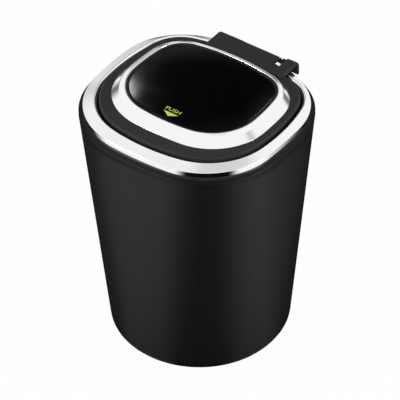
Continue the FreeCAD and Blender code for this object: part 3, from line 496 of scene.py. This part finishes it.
def gloss_black():
    """Tinted gloss plastic: near black and very smooth, with a faint haze that varies over it."""
    material, tree, shader = new_material("gloss_black", (0.0006, 0.0006, 0.0007), 0.14, specular=0.035)
    place = tree.nodes.new("ShaderNodeTexCoord")
    haze = tree.nodes.new("ShaderNodeTexNoise")
    haze.inputs["Scale"].default_value = 120
    spread = tree.nodes.new("ShaderNodeMapRange")
    spread.inputs["To Min"].default_value = 0.11
    spread.inputs["To Max"].default_value = 0.19
    tree.links.new(place.outputs["Object"], haze.inputs["Vector"])
    tree.links.new(haze.outputs["Fac"], spread.inputs["Value"])
    tree.links.new(spread.outputs["Result"], shader.inputs["Roughness"])
    return material


lens = skin("lid_lens_dome", lens_grid(), closed_section=False)
lens.data.materials.append(gloss_black())
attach(lens, "lid")
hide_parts("lid_lens")

# Printed mark.
# A short word and an arrow that point to the place to press, printed on the lens in a bright yellow-green ink.
# The ink follows the lens as a film of a few hundredths of a millimetre.
MARK_X = 0.2 * MM
WORD_FOOT_Y = -16.3 * MM
WORD_TALL = 1.7 * MM
WORD_WIDE = 6.7 * MM
ARROW_Y = -17.05 * MM
ARROW_WIDE = 6.7 * MM
ARROW_TALL = 2.0 * MM
INK_THICK = 0.02 * MM
INK_LIFT = 0.03 * MM


def on_lens(mesh):
    """Lay a flat mesh on the lens: each point rises by the lens's height there and a little more."""
    flat = np.empty(len(mesh.vertices) * 3)
    mesh.vertices.foreach_get("co", flat)
    spots = flat.reshape(-1, 3)
    spots[:, 2] += lens_top(spots) + INK_LIFT
    mesh.vertices.foreach_set("co", spots.ravel())
    mesh.update()


def ink_film(name, mesh):
    """Divide a flat mesh finely, give it the film's thickness, lay it on the lens and make it a piece."""
    work = bmesh.new()
    work.from_mesh(mesh)
    bmesh.ops.triangulate(work, faces=work.faces)
    bmesh.ops.subdivide_edges(work, edges=work.edges, cuts=2, use_grid_fill=True)
    bmesh.ops.recalc_face_normals(work, faces=work.faces)
    bmesh.ops.solidify(work, geom=work.faces, thickness=INK_THICK)
    bmesh.ops.recalc_face_normals(work, faces=work.faces)
    work.to_mesh(mesh)
    work.free()
    on_lens(mesh)
    film = bpy.data.objects.new(name, mesh)
    bpy.context.scene.collection.objects.link(film)
    film.data.materials.clear()
    film.data.materials.append(mark_ink)
    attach(film, "lid")


def yellow_ink():
    """Bright printed ink whose colour and gloss vary a little with the screen it was printed through."""
    material, tree, shader = new_material("mark_ink", (0.68, 0.9, 0.14), 0.5, specular=0.2)
    place = tree.nodes.new("ShaderNodeTexCoord")
    mesh_print = tree.nodes.new("ShaderNodeTexNoise")
    mesh_print.inputs["Scale"].default_value = 2500
    tint = tree.nodes.new("ShaderNodeMix")
    tint.data_type = "RGBA"
    tint.inputs["A"].default_value = (0.62, 0.86, 0.12, 1)
    tint.inputs["B"].default_value = (0.74, 0.94, 0.18, 1)
    tree.links.new(place.outputs["Object"], mesh_print.inputs["Vector"])
    tree.links.new(mesh_print.outputs["Fac"], tint.inputs["Factor"])
    tree.links.new(tint.outputs["Result"], shader.inputs["Base Color"])
    return material


def word_mesh():
    """The word's letters as a flat mesh, stretched to their measured width and height on the lens."""
    data = bpy.data.curves.new("press_word", "FONT")
    data.body = "PUSH"
    letters = bpy.data.objects.new("press_word_letters", data)
    bpy.context.scene.collection.objects.link(letters)
    mesh = bpy.data.meshes.new_from_object(letters.evaluated_get(bpy.context.evaluated_depsgraph_get()))
    bpy.data.objects.remove(letters)
    spots = np.empty(len(mesh.vertices) * 3)
    mesh.vertices.foreach_get("co", spots)
    spots = spots.reshape(-1, 3)
    low, high = spots.min(0), spots.max(0)
    spots[:, 0] = MARK_X + ((spots[:, 0] - low[0]) / (high[0] - low[0]) - 0.5) * WORD_WIDE
    spots[:, 1] = WORD_FOOT_Y + (spots[:, 1] - low[1]) / (high[1] - low[1]) * WORD_TALL
    mesh.vertices.foreach_set("co", spots.ravel())
    return mesh


def arrow_mesh():
    """A broad flat triangle that points to the front."""
    mesh = bpy.data.meshes.new("press_arrow")
    mesh.from_pydata([(MARK_X - ARROW_WIDE / 2, ARROW_Y, 0), (MARK_X, ARROW_Y - ARROW_TALL, 0),
                      (MARK_X + ARROW_WIDE / 2, ARROW_Y, 0)], [], [(0, 1, 2)])
    return mesh


mark_ink = yellow_ink()
ink_film("lens_press_word", word_mesh())
ink_film("lens_press_arrow", arrow_mesh())

# Underside of the lid.
# A moulded plug closes the mouth, with a silicone band round it and a steel shield below.
finish_node("lid_seal", seal_grey)
finish_node("heat_shield", liner_steel)

# Studio.
# A white sweep, soft boxes at the sides, two more behind for the lens alone, dark flags that shape the
# reflections, a painted shadow round the cup's foot that only reflections see, and a camera at the photograph's
# angle, fitted to the object's outline in a 400 by 400 frame.
AZIMUTH = math.radians(36.538)
ELEVATION = math.radians(39.145)
ROLL = math.radians(0.873)
PIXELS_PER_METRE = 2636.0
FRAME_PIXELS = 400
PIVOT_PIXEL = (198.767, 182.32)
PIVOT = Vector((0, 0, ring_high.z - 40 * MM))
CAMERA_DISTANCE = 3.0
SENSOR = 36
BOX_DISTANCE = 1.0
FAN_LEVEL = 0.2 * MM
FOOT_SHADE_LEVEL = 0.4 * MM
FOOT_SHADE_REACH = 0.13
FOOT_SHADE_DEPTH = 0.85
SKY_RADIUS = 1.2
FLOOR_REACH = 6.0
FLOOR_GLOW = 0.98
WORLD_LIGHT = 0.45


def camera_axes():
    """Right, up and back axes for an azimuth, an elevation and a roll."""
    right = Vector((math.cos(AZIMUTH), math.sin(AZIMUTH), 0))
    level = math.cos(ELEVATION)
    back = Vector((math.sin(AZIMUTH) * level, -math.cos(AZIMUTH) * level, math.sin(ELEVATION)))
    up = back.cross(right)
    rolled_right = right * math.cos(ROLL) - up * math.sin(ROLL)
    rolled_up = right * math.sin(ROLL) + up * math.cos(ROLL)
    return rolled_right, rolled_up, back


def add_camera():
    """A long lens far off, so that the pivot falls on its pixel at the fitted scale."""
    right, up, back = camera_axes()
    across = (FRAME_PIXELS / 2 - PIVOT_PIXEL[0]) / PIXELS_PER_METRE
    down = (FRAME_PIXELS / 2 - PIVOT_PIXEL[1]) / PIXELS_PER_METRE
    spot = PIVOT + right * across - up * down + back * CAMERA_DISTANCE
    data = bpy.data.cameras.new("camera")
    data.sensor_width = SENSOR
    data.sensor_fit = "HORIZONTAL"
    data.lens = SENSOR * CAMERA_DISTANCE * PIXELS_PER_METRE / FRAME_PIXELS
    camera = bpy.data.objects.new("camera", data)
    turn = Matrix((right, up, back)).transposed().to_4x4()
    camera.matrix_world = Matrix.Translation(spot) @ turn
    bpy.context.scene.collection.objects.link(camera)
    bpy.context.scene.camera = camera


def add_soft_box(name, azimuth, elevation, width, tall, power, only=None):
    """A rectangular soft light that faces the lid from an azimuth and an elevation, on one piece or on all."""
    data = bpy.data.lights.new(name, "AREA")
    data.shape = "RECTANGLE"
    data.size = width
    data.size_y = tall
    data.energy = power
    lamp = bpy.data.objects.new(name, data)
    turn, rise = math.radians(azimuth), math.radians(elevation)
    level = math.cos(rise) * BOX_DISTANCE
    away = Vector((math.sin(turn) * level, -math.cos(turn) * level, math.sin(rise) * BOX_DISTANCE))
    lamp.location = Vector((0, 0, ring_high.z)) + away
    lamp.rotation_euler = (-away).to_track_quat("-Z", "Y").to_euler()
    bpy.context.scene.collection.objects.link(lamp)
    if only:
        lit = bpy.data.collections.new(name + "_lights")
        lit.objects.link(only)
        lamp.light_linking.receiver_collection = lit


def fade_out(offset, half, soft):
    """One inside a half width, nothing outside it, and a smooth step of 3t^2 - 2t^3 over the soft border."""
    share = np.clip((half + soft - np.abs(offset)) / (2 * soft), 0, 1)
    return share * share * (3 - 2 * share)


def add_flag(name, spots, cover):
    """A dark card that only reflections see, as a grid of points with how densely each is covered."""
    rows, columns = cover.shape
    row, column = np.meshgrid(np.arange(rows - 1), np.arange(columns - 1), indexing="ij")
    first = row * columns + column
    faces = np.stack([first, first + 1, first + 1 + columns, first + columns], -1).reshape(-1, 4)
    mesh = bpy.data.meshes.new(name)
    mesh.from_pydata(spots.reshape(-1, 3), [], faces)
    mesh.attributes.new("flag_cover", "FLOAT", "POINT").data.foreach_set("value", cover.ravel())
    material, tree, shader = new_material(name, (0.004, 0.004, 0.004), 0.9, specular=0.0)
    layer = tree.nodes.new("ShaderNodeAttribute")
    layer.attribute_name = "flag_cover"
    clear = tree.nodes.new("ShaderNodeBsdfTransparent")
    mix = tree.nodes.new("ShaderNodeMixShader")
    tree.links.new(layer.outputs["Fac"], mix.inputs["Fac"])
    tree.links.new(clear.outputs[0], mix.inputs[1])
    tree.links.new(shader.outputs[0], mix.inputs[2])
    tree.links.new(mix.outputs[0], tree.nodes["Material Output"].inputs["Surface"])
    mesh.materials.append(material)
    flag = bpy.data.objects.new(name, mesh)
    bpy.context.scene.collection.objects.link(flag)
    flag.visible_camera = False
    flag.visible_diffuse = False
    flag.visible_shadow = False


def floor_flag(name, facing, half, soft):
    """A fan of floor that the cup's wall mirrors where it faces these directions.

    A level view from the camera's azimuth bounces off a wall that stands at an angle to 2 * stand - azimuth, so
    the fan leaves the foot and spreads twice as fast as the wall turns.
    """
    turn = np.linspace(-half - soft, half + soft, 61)
    reach = np.array([0, 0.05, 0.2, 0.6])
    stand = np.radians(facing + turn)
    bounce = 2 * stand - AZIMUTH
    foot = np.stack([np.sin(stand), -np.cos(stand)], -1) * (FOOT[0] - FOOT_ROUND)
    flat = foot[None] + np.stack([np.sin(bounce), -np.cos(bounce)], -1)[None] * reach[:, None, None]
    level = np.full(flat.shape[:2] + (1,), FAN_LEVEL)
    add_flag(name, np.concatenate([flat, level], -1), np.tile(fade_out(turn, half, soft), (len(reach), 1)))


def painted_foot_shadow():
    """A painted shadow of the cup on the floor, seen only in reflections: a round that is dark at the cup's
    foot and clears outwards.
    """
    turn = np.radians(np.linspace(0, 360, 73))
    reach = np.linspace(FOOT[0] - FOOT_ROUND, FOOT_SHADE_REACH, 21)
    flat = np.stack([np.sin(turn), -np.cos(turn)], -1)[None] * reach[:, None, None]
    level = np.full(flat.shape[:2] + (1,), FOOT_SHADE_LEVEL)
    cover = FOOT_SHADE_DEPTH * np.linspace(1, 0, len(reach))[:, None] ** 1.5 * np.ones(len(turn))[None]
    add_flag("painted_foot_shadow", np.concatenate([flat, level], -1), cover)


def sky_flag(name, azimuth, elevation, half_turn, half_rise, soft, depth):
    """A patch of a large sphere about the lid: points at a turn and a rise, covered up to the depth given."""
    turn = np.linspace(-half_turn - soft, half_turn + soft, 61)
    rise = np.linspace(-half_rise - soft, half_rise + soft, 41)
    angle = np.radians(azimuth + turn)[None, :]
    slope = np.radians(elevation + rise)[:, None]
    level = np.cos(slope)
    away = np.stack([np.sin(angle) * level, -np.cos(angle) * level, np.sin(slope) + 0 * angle], -1)
    cover = depth * fade_out(rise, half_rise, soft)[:, None] * fade_out(turn, half_turn, soft)[None, :]
    add_flag(name, np.array([0, 0, ring_high.z]) + SKY_RADIUS * away, cover)


def seen_directly(tree):
    """One for camera, mirror and glass rays, nothing for the rays that light a surface."""
    path = tree.nodes.new("ShaderNodeLightPath")
    first = tree.nodes.new("ShaderNodeMath")
    first.operation = "MAXIMUM"
    both = tree.nodes.new("ShaderNodeMath")
    both.operation = "MAXIMUM"
    tree.links.new(path.outputs["Is Camera Ray"], first.inputs[0])
    tree.links.new(path.outputs["Is Glossy Ray"], first.inputs[1])
    tree.links.new(first.outputs[0], both.inputs[0])
    tree.links.new(path.outputs["Is Transmission Ray"], both.inputs[1])
    return both.outputs[0]


def white_floor():
    """White to the camera and in reflections, and a pale diffuse floor that takes the object's shadow."""
    mesh = bpy.data.meshes.new("floor")
    corners = [(-1, -1), (1, -1), (1, 1), (-1, 1)]
    mesh.from_pydata([(x * FLOOR_REACH, y * FLOOR_REACH, 0) for x, y in corners], [], [(0, 1, 2, 3)])
    floor = bpy.data.objects.new("floor", mesh)
    bpy.context.scene.collection.objects.link(floor)
    material, tree, shader = new_material("white_floor", (0.9, 0.9, 0.9), 0.9)
    glow = tree.nodes.new("ShaderNodeEmission")
    mix = tree.nodes.new("ShaderNodeMixShader")
    part = tree.nodes.new("ShaderNodeMath")
    part.operation = "MULTIPLY"
    part.inputs[1].default_value = FLOOR_GLOW
    tree.links.new(seen_directly(tree), part.inputs[0])
    tree.links.new(part.outputs[0], mix.inputs["Fac"])
    tree.links.new(shader.outputs[0], mix.inputs[1])
    tree.links.new(glow.outputs[0], mix.inputs[2])
    tree.links.new(mix.outputs[0], tree.nodes["Material Output"].inputs["Surface"])
    mesh.materials.append(material)


def white_world():
    """A plain white surround for the camera and reflections, softer as a light."""
    world = bpy.data.worlds.new("studio")
    world.use_nodes = True
    tree = world.node_tree
    level = tree.nodes.new("ShaderNodeMapRange")
    level.inputs["To Min"].default_value = WORLD_LIGHT
    level.inputs["To Max"].default_value = 1.0
    tree.links.new(seen_directly(tree), level.inputs["Value"])
    tree.links.new(level.outputs["Result"], tree.nodes["Background"].inputs["Strength"])
    tree.nodes["Background"].inputs["Color"].default_value = (1, 1, 1, 1)
    bpy.context.scene.world = world


add_camera()
add_soft_box("left_box", azimuth=-35, elevation=12, width=0.3, tall=0.6, power=6)
add_soft_box("right_box", azimuth=101, elevation=12, width=0.3, tall=0.6, power=6)
add_soft_box("rear_left_box", azimuth=-121, elevation=33, width=0.2, tall=0.25, power=12, only=lens)
add_soft_box("rear_right_box", azimuth=178, elevation=47, width=0.2, tall=0.25, power=8.5, only=lens)
floor_flag("front_flag", facing=36.5, half=17.5, soft=4)
floor_flag("left_flag", facing=-40, half=28, soft=8)
floor_flag("right_edge_flag", facing=112, half=28, soft=8)
# Painted shadow round the cup's foot: a dark card that only reflections see, darkest at the foot.
painted_foot_shadow()
sky_flag("lens_flag", azimuth=216.5, elevation=40, half_turn=17, half_rise=14, soft=5, depth=1.0)
sky_flag("high_flag", azimuth=208, elevation=64, half_turn=15, half_rise=8, soft=6, depth=0.3)
sky_flag("rear_flag_low", azimuth=216, elevation=4, half_turn=74, half_rise=6, soft=6, depth=0.85)
sky_flag("right_flag", azimuth=171, elevation=13, half_turn=7, half_rise=5, soft=5, depth=0.5)
sky_flag("side_flag", azimuth=114, elevation=43, half_turn=6, half_rise=5, soft=7, depth=0.45)
sky_flag("back_flag", azimuth=225, elevation=18, half_turn=7, half_rise=6, soft=5, depth=0.3)
sky_flag("arm_flag", azimuth=200, elevation=30, half_turn=6, half_rise=6, soft=5, depth=0.6)
white_floor()
white_world()
bpy.context.scene.view_settings.view_transform = "Standard"
